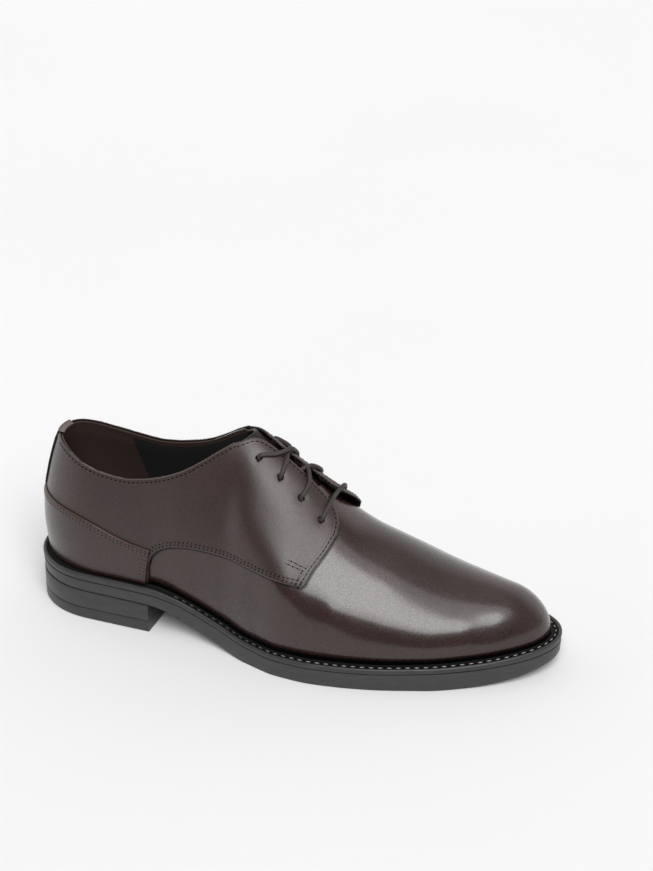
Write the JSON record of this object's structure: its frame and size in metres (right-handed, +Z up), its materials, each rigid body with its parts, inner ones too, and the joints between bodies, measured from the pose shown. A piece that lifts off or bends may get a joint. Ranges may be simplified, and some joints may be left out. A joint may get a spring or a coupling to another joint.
{
  "type": "dress shoe",
  "caption": "Laced dress shoe of smooth leather: hollow upper open at collar and throat, overlaid quarters and heel panel, welted rubber sole with arch, toe spring and block heel.",
  "frame": {"origin": "middle of the footprint's bounding box, on the floor", "axes": "+X from heel to toe, +Y toward the medial (inner) side, +Z up"},
  "size_m": [0.3, 0.1036, 0.1221],
  "materials": {
    "vamp_leather": "smooth dark brown calf, soft gloss",
    "lateral_leather": "smooth dark brown calf, soft gloss",
    "medial_leather": "smooth dark brown calf, soft gloss",
    "counter_leather": "smooth dark brown calf, soft gloss",
    "backstay_leather": "smooth dark brown calf",
    "tongue_leather": "soft dark brown calf",
    "insole_leather": "matt brown lining leather",
    "welt_rubber": "satin dark grey rubber",
    "black_rubber": "satin dark grey rubber",
    "heel_rubber": "satin dark grey rubber",
    "lift_rubber": "matt dark grey rubber",
    "bar_cord": "round waxed cotton cord",
    "lower_cord": "round waxed cotton cord",
    "upper_cord": "round waxed cotton cord"
  },
  "bodies": {
    "root": {"upper": "vamp_leather", "quarter_lateral": "lateral_leather", "quarter_medial": "medial_leather", "counter": "counter_leather", "backstay": "backstay_leather", "tongue": "tongue_leather", "insole": "insole_leather", "welt": "welt_rubber", "outsole": "black_rubber", "heel_block": "heel_rubber", "top_lift": "lift_rubber", "lace_bar": "bar_cord", "lace_cross_lower": "lower_cord", "lace_cross_upper": "upper_cord"}
  },
  "joints": []
}
